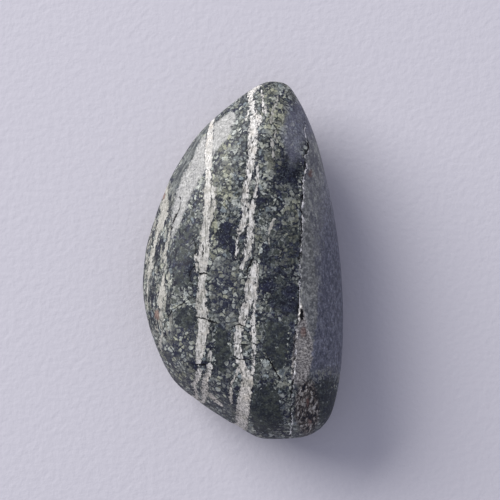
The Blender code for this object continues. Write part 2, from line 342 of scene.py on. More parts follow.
# %% Hair cracks
CRACKS_ALONG = {
    "silver band crack": (
        (6.7, -6.58, 0.08), (5.7, -6.57, 0.09), (4.4, -7.17, 0.10), (3.2, -7.47, 0.07),
    ),
    "dark meander": (
        (2.6, -5.20, 0.04), (1.8, -4.95, 0.07), (1.0, -4.88, 0.07), (0.0, -4.85, 0.05),
        (-0.7, -5.05, 0.07), (-1.4, -5.50, 0.08), (-2.0, -5.40, 0.07), (-2.8, -5.20, 0.05),
    ),
    "vein break": ((0.35, 1.07, 0.09), (-0.4, 0.75, 0.12), (-1.25, 0.40, 0.06)),
    "foot diagonal": ((-9.7, 2.42, 0.06), (-10.9, 3.10, 0.11), (-12.4, 3.85, 0.07)),
    "left vein slit": ((1.8, -4.05, 0.02), (1.0, -4.10, 0.06), (0.2, -4.15, 0.02)),
    "slash": ((13.2, 1.57, 0.03), (12.2, 0.90, 0.06)),
}
CRACKS_ACROSS = {
    "flank arc": (
        (-5.6, -4.10, 0.06), (-7.0, -4.95, 0.09), (-7.9, -6.00, 0.09), (-8.3, -7.25, 0.06),
    ),
    "left vein crack": (
        (-4.9, -5.85, 0.04), (-3.9, -6.05, 0.09), (-2.9, -6.45, 0.08), (-2.5, -6.65, 0.02),
    ),
    "left vein gap": ((-4.6, -1.25, 0.06), (-4.1, -1.40, 0.12), (-3.7, -1.35, 0.05)),
    "left vein notch": ((-4.9, -10.80, 0.04), (-4.0, -10.85, 0.11), (-3.6, -11.10, 0.06)),
    "vein crack, high": ((0.5, 10.62, 0.03), (1.4, 10.52, 0.05)),
    "vein crack, middle": ((-1.2, -6.72, 0.03), (-0.4, -6.72, 0.09), (0.3, -6.80, 0.03)),
    "vein crack, low": ((-1.2, -8.60, 0.03), (0.0, -8.75, 0.07), (1.5, -8.70, 0.04)),
    "vein crack, lowest": ((-0.9, -10.10, 0.03), (0.2, -10.25, 0.07), (1.5, -10.05, 0.04)),
}
print(len(CRACKS_ALONG), "hair cracks along the stone and", len(CRACKS_ACROSS), "across it")

# %% [markdown]
# ## Patches
# Between the veins the rock changes from place to place: smooth dark-olive grains, nearly black
# patches with hardly a fleck, patches where the flecks turn yellow-green, and patches where they
# are small and round. Each is a rough ellipse: its middle across and along the stone, and its half
# widths, in millimetres.

# %% Patch tables
OLIVE_GRAINS = (
    (-5.91, -5.86, 1.04, 1.15), (-2.22, -9.28, 0.73, 2.40), (3.33, -8.13, 1.36, 1.88),
    (3.75, -10.00, 0.73, 1.25), (2.41, -15.57, 1.62, 2.82), (8.59, -14.81, 1.36, 2.51),
    (-6.60, -1.90, 0.45, 0.60),
)
BLACK_PATCHES = (
    (-1.96, 2.76, 0.82, 1.42), (4.79, 8.90, 1.15, 0.84), (4.68, -4.29, 1.04, 1.36),
    (3.23, -4.29, 0.84, 0.63), (-4.57, -10.66, 0.94, 0.42), (5.31, -9.49, 0.52, 2.30),
    (1.57, 6.18, 0.52, 0.73), (2.29, 0.48, 0.52, 1.15), (-5.49, -0.77, 0.63, 1.25),
    (-1.13, 1.10, 0.42, 1.25), (-0.83, -14.88, 0.37, 0.94), (2.61, -2.53, 0.94, 0.84),
    (-8.75, 1.60, 0.30, 1.30), (-9.45, -3.30, 0.26, 1.60),
)
YELLOW_PATCHES = (
    (2.94, 17.35, 0.84, 1.04), (3.56, 14.66, 1.04, 2.30), (3.44, 9.93, 1.04, 1.67),
    (-1.75, 8.16, 0.63, 2.30), (-1.90, 12.40, 0.55, 1.80), (-3.00, 3.69, 0.37, 3.13),
    (5.10, 4.00, 0.73, 2.93), (4.57, 0.58, 0.84, 1.46), (1.57, 2.14, 0.38, 1.10),
    (8.40, -11.50, 1.10, 0.70), (-5.32, -11.76, 0.42, 0.63), (-6.52, -12.16, 0.31, 0.42),
    (-8.31, -9.95, 0.37, 0.63), (-3.10, 6.60, 0.45, 2.60),
)
ROUND_PATCHES = (
    (-1.85, -3.25, 1.46, 3.34), (-6.02, -8.78, 1.67, 2.30), (-2.19, -14.05, 1.25, 2.61),
    (-5.58, -13.12, 1.25, 1.25), (-7.60, -11.20, 1.10, 2.60), (-1.90, -11.60, 0.80, 1.20),
)
DIM_PATCHES = (
    (4.3, 0.6, 1.9, 4.6), (4.6, 9.2, 1.4, 2.6), (4.3, -4.6, 1.7, 2.6), (-6.2, 1.2, 1.3, 4.2),
    (7.6, 3.5, 1.3, 8.0),
)
print("patches:", len(OLIVE_GRAINS), "olive,", len(BLACK_PATCHES), "black,",
      len(YELLOW_PATCHES), "yellow,", len(ROUND_PATCHES), "round,", len(DIM_PATCHES), "dim")

# %% Small spots on the same map
RUST_SPOTS = (
    (-8.99, -5.65, 0.25, 0.55), (6.25, -7.40, 0.34, 0.50), (7.05, 9.10, 0.26, 0.40),
    (-8.35, 6.95, 0.18, 0.50), (6.75, -14.80, 0.16, 0.50), (7.00, -17.00, 0.18, 0.40),
)
DEBRIS = ((6.70, -15.40, 1.25, 2.90),)
CRACK_PITS = (
    (6.10, -5.60, 0.18, 0.70), (6.80, 12.10, 0.10, 0.60), (6.45, 10.00, 0.10, 0.50),
    (6.20, 6.60, 0.09, 0.35), (6.05, 0.60, 0.09, 0.35), (5.25, -12.60, 0.10, 0.35),
)
# RIDGE_HIGHLIGHT marks where the ridge's painted highlight lies.
RIDGE_HIGHLIGHT = ((-3.55, 12.4, 0.8, 3.4),)
# TIP_REFLECTION marks a painted reflection of the room on the shoulder near the tip.
TIP_REFLECTION = ((5.3, 13.2, 1.2, 3.2), (6.4, 15.0, 1.5, 2.6))
print(len(RUST_SPOTS), "rust spots and", len(CRACK_PITS), "pits on the long crack")

# %% [markdown]
# ## From tables to masks
# A Float Curve node turns the place along the stone into a vein's middle line, and a second one
# into its half width. The half width less the distance from the middle line is the depth inside
# the vein: above zero is vein, below zero is rock. Noise added to that depth, not to the colour,
# makes the ragged sides. A curve reads and gives values from 0 to 1, so places are divided by the
# span of the map.

# %% Depth inside a vein
MAP_SPAN = 40.0
WIDTH_SPAN = 3.0
WIDTH_ZERO = 1.0
OUTSIDE = -0.8
END_GAP = 0.3


def on_curve(value):
    """A place on the map, in mm, as the 0 to 1 that a Float Curve works in."""
    return value / MAP_SPAN + 0.5


def middle_line(w, along, rows):
    """Place across the stone of a vein's middle, in mm; along is already from 0 to 1."""
    points = [(on_curve(row[0]), on_curve(row[1])) for row in sorted(rows)]
    return w.math("MULTIPLY_ADD", w.curve(along, points), MAP_SPAN, -MAP_SPAN / 2)


def depth_inside(w, along, across, rows):
    """Depth inside one vein or crack, in mm; past its ends the half width drops to OUTSIDE."""
    rows = sorted(rows)
    widths = [(row[0], row[2]) for row in rows]
    widths = [(rows[0][0] - END_GAP, OUTSIDE), *widths, (rows[-1][0] + END_GAP, OUTSIDE)]
    widths = [(on_curve(at), (half + WIDTH_ZERO) / WIDTH_SPAN) for at, half in widths]
    half = w.math("MULTIPLY_ADD", w.curve(along, widths), WIDTH_SPAN, -WIDTH_ZERO)
    away = w.math("ABSOLUTE", w.math("SUBTRACT", across, middle_line(w, along, rows)))
    return w.math("SUBTRACT", half, away)


def deepest(w, along, across, tables):
    """Depth inside whichever vein of the tables is nearest."""
    result = None
    for rows in tables:
        depth = depth_inside(w, along, across, rows)
        result = depth if result is None else w.math("MAXIMUM", result, depth)
    return result


print("the map spans", MAP_SPAN, "mm and holds half widths up to", WIDTH_SPAN - WIDTH_ZERO, "mm")

# %% [markdown]
# ## Patches as distances
# A patch is a distance too. The place is moved and squeezed until the ellipse is a circle of
# radius 1, and its length is then the reach: 0 in the middle, 1 on the edge. The nearest patch
# wins, and noise added later tears the edge.

# %% Reach of a patch


def patch_reach(w, where, patches):
    """0 in the middle of the nearest patch, 1 on its edge, more outside."""
    result = None
    for x, y, half_x, half_y in patches:
        squeeze = (1 / half_x, 1 / half_y, 0)
        centre = (-x / half_x, -y / half_y, 0)
        moved = w.vector("MULTIPLY_ADD", where, squeeze, centre)
        reach = w.vector("LENGTH", moved, output=1)
        result = reach if result is None else w.math("MINIMUM", result, reach)
    return result


print("longest olive patch:",2 * max(max(patch[2:]) for patch in OLIVE_GRAINS), "mm")

# %% [markdown]
# ## Sheets that go through the stone
# The tables are read from above, but a vein is a sheet that runs on inside the rock and comes out
# again below. Painting the underside apart would leave a seam, so the map simply ignores height
# down to the rim, and below it the sheets lean, so that the underside shows its own version.

# %% The stone's map
RIM_HEIGHT = 4.9
SHEET_LEAN = 0.38


class StoneMap:
    """Place on the map, in mm and as the 0 to 1 that a Float Curve reads."""

    def __init__(self, w, place):
        x, self.y, z = w.parts(place)
        below = w.math("MAXIMUM", w.math("SUBTRACT", RIM_HEIGHT, z), 0.0)
        self.x = w.math("MULTIPLY_ADD", below, SHEET_LEAN, x)
        self.place = w.join(self.x, self.y, z)
        self.along = w.math("MULTIPLY_ADD", self.y, 1 / MAP_SPAN, 0.5)
        self.across = w.math("MULTIPLY_ADD", self.x, 1 / MAP_SPAN, 0.5)

    def depth(self, w, tables):
        return deepest(w, self.along, self.x, tables)

    def hair_depth(self, w):
        lengthwise = deepest(w, self.along, self.x, CRACKS_ALONG.values())
        crosswise = deepest(w, self.across, self.y, CRACKS_ACROSS.values())
        return w.math("MAXIMUM", lengthwise, crosswise)


print("sheets lean", SHEET_LEAN, "mm for each mm below", RIM_HEIGHT, "mm")

# %% [markdown]
# ## Relief in the mesh
# Polish never gives a perfect surface. The crown has a slight wave, the soft veins wear a little
# deeper than the matrix, and along the cracks the edge has crumbled. A bump map could fake it, but
# the stone is also kept as a mesh, so Geometry Nodes press these forms into it. Each form is a
# value from 0 to 1, made from the same tables as the colours.

# %% Worn forms
PIT_CELLS_PER_MM = 0.8
CRACK_WAVES_PER_MM = 2.2
CRACK_WANDER = 0.55


def worn_forms(w, place, spot):
    """Name and strength of each form that drops below the polished surface."""
    ragged = w.math("MULTIPLY_ADD", w.noise(spot.place, 2.2, 3.0), 0.6, -0.3)
    vein = w.step(w.math("ADD", ragged, spot.depth(w, CREAM_VEINS)), -0.12, 0.16)
    streaks = w.math("MULTIPLY", vein, w.stretched(spot.place, 4.0, 0.8))
    crooked = StoneMap(w, w.bend(place, CRACK_WAVES_PER_MM, CRACK_WANDER, 3.0))
    hair = w.step(crooked.hair_depth(w), -0.14, 0.04)
    pit = w.cells(w.vector("MULTIPLY", spot.place, (1.0, 0.7, 1.0)), PIT_CELLS_PER_MM)
    few = w.step(w.parts(pit["Color"])[0], 0.55, 0.6)
    pits = w.math("MULTIPLY", w.step(pit["Distance"], 0.24, 0.08), few)
    at_debris = w.step(patch_reach(w, spot.place, DEBRIS), 1.2, 0.7)
    crumble = w.math("MULTIPLY", at_debris, w.noise(spot.place, 1.8, 3.0))
    return {
        "Wave": w.noise(place, 0.24, 1.0), "Fine wave": w.noise(place, 1.3, 2.0),
        "Vein wear": vein, "Vein streaks": streaks, "Hair cracks": hair, "Pits": pits,
        "Crumble": crumble,
    }


print("pits to a square millimetre, at most:", round(PIT_CELLS_PER_MM ** 2, 2))

# %% [markdown]
# ## The long crack in the mesh
# The packed stone has one even groove, but the real crack opens and closes. Cutting the groove
# anew would need a finer base mesh. It is simpler to lift its floor where the crack is closed, and
# to press it a little deeper where it is open, with one slow noise to decide between the two.

# %% Open and closed crack


def crack_forms(w, spot, height):
    """Strength of the open crack, and of the fill where it is closed."""
    wobble = w.math("MULTIPLY_ADD", w.noise(spot.place, 1.6, 2.0), 0.36, -0.18)
    crack_depth = w.math("ADD", wobble, spot.depth(w, [LONG_CRACK]))
    open_here = w.step(w.noise(spot.place, 1.1, 2.0), 0.42, 0.58)
    crack = w.math("MULTIPLY", w.step(crack_depth, -0.20, 0.06), open_here)
    upper = w.step(height, RIM_HEIGHT, RIM_HEIGHT + 0.8)
    closed = w.math("MULTIPLY", upper, w.math("MULTIPLY_ADD", open_here, -0.4, 1.0))
    fill = w.math("MULTIPLY", closed, w.step(spot.depth(w, [LONG_CRACK]), -0.34, 0.04))
    return crack, fill


print("rows of the groove's table:", len(LONG_CRACK))

# %% [markdown]
# ## One tree with named sizes
# A form's size is a named input of the tree, in millimetres, so it can be changed in Blender
# without touching the nodes. The drops are added up and move each point inward along its normal.
# Near the flat that the stone rests on they fade out, so that it still rests there.

# %% Build the relief tree
RELIEF = {
    "Wave": 0.05, "Fine wave": 0.016, "Vein wear": 0.035, "Vein streaks": 0.030,
    "Crack": 0.05, "Crack fill": 0.26, "Hair cracks": 0.05, "Pits": 0.10, "Crumble": 0.08,
}
FLAT_MARGIN = (0.05, 0.6)


def relief_tree():
    tree = bpy.data.node_groups.new("stone_relief", "GeometryNodeTree")
    tree.interface.new_socket("Geometry", in_out="INPUT", socket_type="NodeSocketGeometry")
    for name in RELIEF:
        tree.interface.new_socket(name, in_out="INPUT", socket_type="NodeSocketFloat")
    tree.interface.new_socket("Material", in_out="INPUT", socket_type="NodeSocketMaterial")
    tree.interface.new_socket("Geometry", in_out="OUTPUT", socket_type="NodeSocketGeometry")
    w = Wiring(tree)
    given = w.node("NodeGroupInput").outputs
    place = w.times(w.node("GeometryNodeInputPosition").outputs[0], 1 / MM)
    height = w.parts(place)[2]
    spot = StoneMap(w, place)
    crack, fill = crack_forms(w, spot, height)
    forms = {**worn_forms(w, place, spot), "Crack": crack}

    drop = 0.0
    for name, strength in forms.items():
        drop = w.math("MULTIPLY_ADD", strength, given[name], drop)
    drop = w.math("MULTIPLY", drop, w.step(height, *FLAT_MARGIN))
    inward = w.math("MULTIPLY", drop, -MM)
    offset = w.times(w.node("GeometryNodeInputNormal").outputs[0], inward)
    raised = w.math("MULTIPLY", w.math("MULTIPLY", fill, given["Crack fill"]), MM)
    offset = w.vector("ADD", offset, w.join(0.0, 0.0, raised))
    moved = w.node("GeometryNodeSetPosition", {"Geometry": given["Geometry"], "Offset": offset})
    solid = w.node("GeometryNodeRealizeInstances", {0: moved.outputs[0]})
    inputs = {"Geometry": solid.outputs[0], "Material": given["Material"]}
    done = w.node("GeometryNodeSetMaterial", inputs)
    w.node("NodeGroupOutput", {0: done.outputs[0]})
    return tree


print("sizes of the relief, mm:", RELIEF)

# %% [markdown]
# ## Colours of the rock
# Polished serpentine is nearly black where it is dense, because light sinks into it, and milky
# where it is fibrous. The values are linear light, as Blender's colour sockets read them.

# %% Colour values
NAVY_BLACK = (0.017, 0.019, 0.038, 1)
GREEN_BLACK = (0.016, 0.020, 0.026, 1)
SEAM_BLACK = (0.008, 0.009, 0.017, 1)
OLIVE_DARK = (0.046, 0.053, 0.047, 1)
OLIVE_BLACK = (0.020, 0.024, 0.030, 1)
FLECK_GREY = (0.27, 0.285, 0.26, 1)
FLECK_TEAL = (0.14, 0.165, 0.175, 1)
FLECK_YELLOW = (0.235, 0.24, 0.178, 1)
CREAM = (0.66, 0.645, 0.61, 1)
CREAM_MIDDLE = (0.44, 0.43, 0.40, 1)
CREAM_SHADE = (0.17, 0.17, 0.155, 1)
FLANK_CREAM = (0.27, 0.265, 0.23, 1)
STAIN_OLIVE = (0.26, 0.25, 0.20, 1)
# The silver colours hold a pale vein with a painted reflection; the rim grey is a painted
# reflection.
SILVER_AND_REFLECTION = (0.345, 0.345, 0.33, 1)
SILVER_SHADE = (0.28, 0.28, 0.275, 1)
SILVER_DOT = (0.08, 0.08, 0.09, 1)
RIM_REFLECTION_GREY = (0.150, 0.160, 0.153, 1)
RIM_DARK = (0.05, 0.055, 0.06, 1)
TAN = (0.38, 0.36, 0.33, 1)
TAN_DARK = (0.16, 0.15, 0.145, 1)
GREY_TAN = (0.34, 0.345, 0.315, 1)
GREY_TAN_DARK = (0.13, 0.135, 0.13, 1)
# The three slate colours are a painted reflection of the room on the shaded right flank.
SLATE_REFLECTION_DARK = (0.085, 0.090, 0.120, 1)
SLATE_REFLECTION = (0.195, 0.202, 0.250, 1)
SLATE_REFLECTION_PALE = (0.31, 0.315, 0.335, 1)
BEIGE = (0.45, 0.40, 0.33, 1)
BROWN_GREY = (0.085, 0.072, 0.062, 1)
RUST = (0.145, 0.082, 0.068, 1)
# Painted reflection: the blue haze near the tip.
REFLECTION_BLUE = (0.21, 0.215, 0.265, 1)
MOSS_DARK = (0.135, 0.138, 0.150, 1)
MOSS = (0.225, 0.230, 0.225, 1)
MOSS_PALE = (0.42, 0.43, 0.38, 1)
# The black is painted shade in the long crack's slit and the black of hair cracks and pits; the lip
# white is a painted highlight.
CRACK_AND_SHADE_BLACK = (0.002, 0.002, 0.003, 1)
LIP_HIGHLIGHT = (0.95, 0.93, 0.88, 1)
print("a whole fibre reflects", CREAM[0], "of red light and the dark ground", NAVY_BLACK[0])

# %% [markdown]
# ## One material, laid down in the rock's order
# The rock grew in steps: a dark ground, grains and flecks in it, bands, then the veins that cut
# them all, and cracks last. The colour is built in that order, each step laid over the last by its
# own mask. Node groups would help if two materials shared an effect; here there is only one.

# %% Start the material
serpentine = bpy.data.materials.new("polished_serpentine")
serpentine.use_nodes = True
w = Wiring(serpentine.node_tree)
shader = serpentine.node_tree.nodes["Principled BSDF"]
place = w.times(w.node("ShaderNodeTexCoord").outputs["Object"], 1 / MM)
spot = StoneMap(w, place)
bent = w.bend(spot.place, 2.3, 0.45)
loose = w.bend(spot.place, 0.8, 1.6, 4.0, 0.65)
rough = w.noise(place, 4.5, 3.0, 0.7)
middle = w.noise(place, 1.9, 3.0, 0.6)


def report(step_name):
    print(f"{step_name}: {len(serpentine.node_tree.nodes)} nodes so far")


report("places and shared noise")

# %% [markdown]
# ## Dark ground
# Dense serpentine is almost black, a little blue in one place and a little green in the next. One
# flat black would look like plastic, so a slow noise moves between the two, and a quicker one
# darkens the seams.

# %% Dark ground
ground = w.step(w.noise(place, 0.7, 3.0), 0.38, 0.62)
colour = w.blend(ground, NAVY_BLACK, GREEN_BLACK)
colour = w.blend(w.step(middle, 0.52, 0.40), colour, SEAM_BLACK)
report("dark ground")

# %% [markdown]
# ## Masks of the patches
# In real rock one kind of patch passes into the next, so the masks are soft. Their ellipses are
# read at a place bent by noise, which gives each a shape of its own, and the sharper ones have
# more noise on their reach, as a torn edge.

# %% Patch masks
frayed = w.math("MULTIPLY_ADD", rough, 0.9, -0.45)
grain = w.step(w.math("ADD", frayed, patch_reach(w, loose, OLIVE_GRAINS)), 1.15, 0.85)
black = w.step(w.math("ADD", frayed, patch_reach(w, loose, BLACK_PATCHES)), 1.35, 0.60)
yellow = w.step(patch_reach(w, loose, YELLOW_PATCHES), 1.45, 0.65)
small_round = w.step(patch_reach(w, loose, ROUND_PATCHES), 1.30, 0.80)
dim = w.step(patch_reach(w, loose, DIM_PATCHES), 1.25, 0.75)
report("patch masks")

# %% [markdown]
# ## Olive grains
# The smooth dark grains are larger crystals that changed only in part. They could be flat spots of
# colour, but a polished crystal shows depth, so a bent noise mottles them between two olives. The
# same mottle tints the ground around them, which ties the two together. Where the flecks will be
# round, the ground between them is made darker here, so that they stand apart.

# %% Olive grains
mottle = w.noise(w.bend(place, 1.6, 0.5), 1.7, 5.0, 0.62)
olive = w.blend(w.step(mottle, 0.42, 0.62), OLIVE_BLACK, OLIVE_DARK)
colour = w.blend(w.math("MULTIPLY", grain, 0.9), colour, olive)
blotch = w.math("MULTIPLY", w.step(mottle, 0.50, 0.55), w.math("MULTIPLY_ADD", black, -0.8, 0.8))
colour = w.blend(blotch, colour, OLIVE_DARK)
between = w.math("MULTIPLY", small_round, w.math("MULTIPLY_ADD", grain, -0.6, 0.6))
colour = w.blend(between, colour, NAVY_BLACK)
report("olive grains")

# %% [markdown]
# ## Marbled flecks
# The speckle is the rock's mesh texture: grains a few tenths of a millimetre across, pale inside,
# with dark seams between them. In most of the stone they run together like marbling. Voronoi cells
# alone would look like tiles, so a noise decides what is pale, and the cells only cut seams into it
# and give each grain its own tint. First comes the share of pale grains, which each patch changes.

# %% Share of pale grains, and marbled flecks
TILES_PER_MM = 1.9
share = w.math("MULTIPLY_ADD", w.noise(place, 0.55, 3.0), 1.3, -0.18)
for patch, change in ((black, -0.60), (dim, -0.27), (yellow, 0.20), (grain, -0.65)):
    share = w.math("MULTIPLY_ADD", patch, change, share)
mosaic = w.bend(bent, 4.0, 0.22)
tile = w.cells(mosaic, TILES_PER_MM)
tile_seam = w.cells(mosaic, TILES_PER_MM, "DISTANCE_TO_EDGE")["Distance"]
_, tint, light = w.parts(tile["Color"])
marble = w.math("MULTIPLY_ADD", share, 0.30, w.noise(bent, 1.35, 5.0, 0.68))
marble = w.math("MULTIPLY_ADD", tile_seam, 0.75, marble)
marbled = w.math("MULTIPLY", w.step(marble, 0.755, 0.780), w.step(light, 0.0, 1.0, 0.40, 1.35))
report("marbled flecks")

# %% [markdown]
# ## Round flecks
# In some patches the grains stay apart and are round. Here Voronoi cells are right, because they
# are made the same way, from seeds that grow until they meet. Each cell draws a random number, and
# it is pale if that is below the share of pale grains there. Noise on the seams rounds the corners.

# %% Round flecks
ROUND_FLECK = 0.56
FINE_FLECK = 0.27


def flecks(where, size, seam_width):
    """Strength of one layer of pale grains, each with its own lightness."""
    grain_cell = w.cells(where, 1 / size)
    seam = w.cells(where, 1 / size, "DISTANCE_TO_EDGE")["Distance"]
    chance, _, lightness = w.parts(grain_cell["Color"])
    pale = w.step(w.math("SUBTRACT", share, chance), -0.02, 0.02)
    seam = w.math("MULTIPLY_ADD", rough, -0.40, w.math("ADD", seam, 0.20))
    inside = w.step(seam, seam_width, seam_width + 0.05)
    strength = w.math("MULTIPLY", pale, inside)
    return w.math("MULTIPLY", strength, w.step(lightness, 0.0, 1.0, 0.30, 1.35))


share = w.math("MULTIPLY_ADD", small_round, 0.26, share)
coarse = w.math("MULTIPLY", flecks(bent, ROUND_FLECK, 0.095), small_round)
fine = flecks(w.bend(place, 3.0, 0.3), FINE_FLECK, 0.07)
fine = w.math("MULTIPLY", fine, w.math("MULTIPLY_ADD", small_round, -0.5, 1.0))
report("round flecks")

# %% [markdown]
# ## Lay the flecks down
# The three layers never cover one another: the strongest one wins at each point. A fleck is teal,
# grey or yellow-green by its cell's tint and its patch. The mix factor ends at 1, so a brighter
# fleck than that has its colour multiplied instead.

# %% Strength and tint of the flecks
marbled = w.math("MULTIPLY", marbled, w.math("SUBTRACT", 1.0, small_round))
strength = w.math("MAXIMUM", w.math("MAXIMUM", marbled, coarse), w.math("MULTIPLY", fine, 0.55))
fewer = w.math("MINIMUM", w.math("MULTIPLY_ADD", grain, -0.5, 1.0),
               w.math("MULTIPLY_ADD", dim, -0.42, 1.0))
strength = w.math("MULTIPLY", strength, fewer)
hue = w.math("MULTIPLY_ADD", yellow, 0.45, w.math("MULTIPLY", tint, 0.7))
hue = w.math("MULTIPLY_ADD", small_round, 0.14, hue)
pale = w.blend(w.step(hue, 0.02, 0.30), FLECK_TEAL, FLECK_GREY)
pale = w.blend(w.step(hue, 0.35, 0.90), pale, FLECK_YELLOW)
pale = w.shaded(pale, w.math("MAXIMUM", strength, 1.0))
colour = w.blend(w.math("MINIMUM", strength, 1.0), colour, pale)
report("flecks")

# %% [markdown]
# ## Shells and dust
# Some grains have a dark core and a thin pale rim where the change stopped. A Voronoi node gives
# the distance from each seed, and a narrow range of that distance is a ring, so no drawing is
# needed. Where the rock is dim, a faint net follows the grain seams. Dust is fine noise, kept weak.

# %% Shells, net and dust
SHELLS_PER_MM = 1.0
DUST_PER_MM = 5.5
shell_cell = w.cells(mosaic, SHELLS_PER_MM)
shell_out = w.math("MULTIPLY_ADD", rough, 0.35, shell_cell["Distance"])
shell = w.step(w.parts(shell_cell["Color"])[1], 0.74, 0.76)
no_shell = w.math("MAXIMUM", w.math("MAXIMUM", grain, black), small_round)
shell = w.math("MULTIPLY", shell, w.math("SUBTRACT", 1.0, no_shell))
inner = w.math("MULTIPLY", w.step(shell_out, 0.52, 0.46), shell)
ring = w.math("MULTIPLY", w.math("MULTIPLY", w.step(shell_out, 0.60, 0.56), shell),
              w.step(shell_out, 0.48, 0.53))
colour = w.blend(w.math("MULTIPLY", inner, 0.8), colour, OLIVE_DARK)
colour = w.blend(w.math("MULTIPLY", ring, 0.45), colour, FLECK_GREY)
net = w.math("MULTIPLY", w.step(tile_seam, 0.06, 0.02), w.step(middle, 0.48, 0.56, 0.0, 0.24))
colour = w.blend(w.math("MULTIPLY", net, dim), colour, FLECK_TEAL)
specks = w.noise(place, DUST_PER_MM, 2.0)
dust = w.math("MULTIPLY", w.step(specks, 0.56, 0.68), w.math("MULTIPLY_ADD", black, 0.22, 0.28))
colour = w.blend(dust, colour, FLECK_TEAL)
report("shells, net and dust")

# %% [markdown]
# ## The slate flank, a painted reflection
# Right of the long crack the flank slopes away from the window. Its blue-grey, nearly even and
# paler towards the tip, is a painted reflection of the room laid in as the rock's colour, with a
# mossy margin of rock along the crack. The crack's own middle line divides the two, so the
# colour changes just where the crack runs. Distance from that line also says how wide the mossy
# margin is.

# %% Painted reflection on the slate flank, right of the long crack
from_crack = w.math("SUBTRACT", spot.x, middle_line(w, spot.along, CRACK_LINE))
flank = w.step(from_crack, 0.0, 0.3)
flank_end = w.step(w.math("MULTIPLY_ADD", middle, 2.0, spot.y), -12.0, -9.5, 0.1, 1.0)
flank = w.math("MULTIPLY", flank, flank_end)
# Painted reflection: blue-grey over the flank, paler towards the tip.
slate_grain = w.stretched(spot.place, 2.6, 1.6, 5.0, 0.72)
slate = w.blend(w.step(slate_grain, 0.40, 0.60), SLATE_REFLECTION_DARK, SLATE_REFLECTION)
slate = w.blend(w.step(spot.y, 0.0, 9.0, 0.0, 0.60), slate, SLATE_REFLECTION_PALE)
slate = w.blend(w.step(slate_grain, 0.58, 0.70, 0.0, 0.6), slate, SLATE_REFLECTION_PALE)
slate = w.blend(w.step(w.noise(bent, 2.0, 4.0, 0.65), 0.46, 0.38, 0.0, 0.7), slate, SLATE_REFLECTION_DARK)
report("slate")

# %% Mossy margin beside the crack
moss_grain = w.stretched(w.bend(spot.place, 1.0, 1.2), 0.8, 0.4, 4.0, 0.62)
moss = w.blend(w.step(moss_grain, 0.44, 0.56), MOSS_DARK, MOSS)
tufts = w.stretched(loose, 1.8, 0.9, 4.0, 0.66)
moss = w.blend(w.step(tufts, 0.50, 0.60, 0.0, 0.8), moss, MOSS_PALE)
mossy = w.step(w.math("MULTIPLY_ADD", middle, 2.0, from_crack), 3.7, 2.4, 0.0, 0.85)
mossy = w.math("MULTIPLY", mossy, w.step(spot.y, -5.0, -3.0))
slate = w.blend(mossy, slate, moss)
colour = w.blend(w.math("MULTIPLY", flank, 0.90), colour, slate)
report("slate flank")

# %% [markdown]
# ## Rim and silver bands, with painted reflection
# Where the polish cuts a vein at a flat angle, it shows as a wide band. The silver one is fine and
# dotted, with a painted reflection of the window laid over the pale vein, plainer and lighter
# towards the tip. The rim band beside it is a painted reflection on the steep left rim, striped
# along its length, which is turned a little from the stone's own. They use the same tables as the
# veins, with a calmer edge.

# %% Rim and silver bands
RIM_REFLECTION_TURN = -0.56


def band_mask(rows, wander, low, high):
    """Mask of a band, its edge moved about by up to half of wander, in mm."""
    edge = w.math("MULTIPLY_ADD", middle, wander, -wander / 2)
    return w.step(w.math("ADD", spot.depth(w, [rows]), edge), low, high)


turned = w.join(w.math("MULTIPLY_ADD", spot.y, RIM_REFLECTION_TURN, spot.x), spot.y, 0.0)
# Painted reflection on the steep left rim, striped with darker rock.
rim = w.blend(w.step(w.stretched(turned, 4.0, 0.6, 4.0), 0.42, 0.60), RIM_DARK, RIM_REFLECTION_GREY)
colour = w.blend(w.math("MULTIPLY", band_mask(RIM_REFLECTION_BAND, 0.9, -0.15, 0.25), 0.9), colour, rim)
# Pale vein with a painted reflection of the window, plainer and lighter towards the tip.
silver = w.blend(w.step(w.noise(place, 1.1, 4.0), 0.35, 0.65), SILVER_AND_REFLECTION, SILVER_SHADE)
silver = w.blend(w.step(spot.y, 11.5, 9.5, 0.6, 0.0), silver, SILVER_AND_REFLECTION)
silver = w.blend(w.step(specks, 0.61, 0.70, 0.0, 0.7), silver, SILVER_DOT)
silver_and_reflection_cover = band_mask(SILVER_VEIN_AND_REFLECTION, 1.0, -0.1, 0.3)
colour = w.blend(silver_and_reflection_cover, colour, silver)
report("rim and silver bands")

# %% [markdown]
# ## Tan band, and a painted reflection at the tip
# The tan band is granular and comes to a point at the long crack, with a thin cream line along
# that end. Above the line the same band is grey. A straight line across the map divides the two:
# distance from the crack times a slope, plus the place along the stone, is the same all along it.
# Near the tip the shoulder holds a painted reflection of the room, a thin blue haze over the
# flecks, so its mask is very soft.

# %% Tan band, and the painted reflection at the tip
APEX_SLOPE = 2.64
tan = w.blend(w.step(rough, 0.38, 0.60), TAN_DARK, TAN)
tan = w.blend(w.step(w.noise(bent, 1.5, 4.0, 0.65), 0.56, 0.66, 0.0, 0.6), tan, TAN_DARK)
grey_tan = w.blend(w.step(w.noise(bent, 2.0, 4.0, 0.68), 0.42, 0.60), GREY_TAN_DARK, GREY_TAN)
apex = w.math("MULTIPLY_ADD", from_crack, APEX_SLOPE, spot.y)
apex = w.math("MULTIPLY_ADD", middle, 1.2, apex)
tan = w.blend(w.step(apex, -3.4, -3.0), tan, grey_tan)
apex_line = w.math("MULTIPLY", w.step(apex, -3.6, -3.35), w.step(apex, -3.0, -3.25))
apex_line = w.math("MULTIPLY", apex_line, w.step(from_crack, 0.4, 0.6))
tan = w.blend(w.math("MULTIPLY", apex_line, 0.7), tan, CREAM_MIDDLE)
thinner = w.step(apex, -3.0, -3.4, 0.75, 1.0)
tan_cover = w.math("MULTIPLY", band_mask(TAN_BAND, 0.9, -0.10, 0.12), thinner)
colour = w.blend(tan_cover, colour, tan)
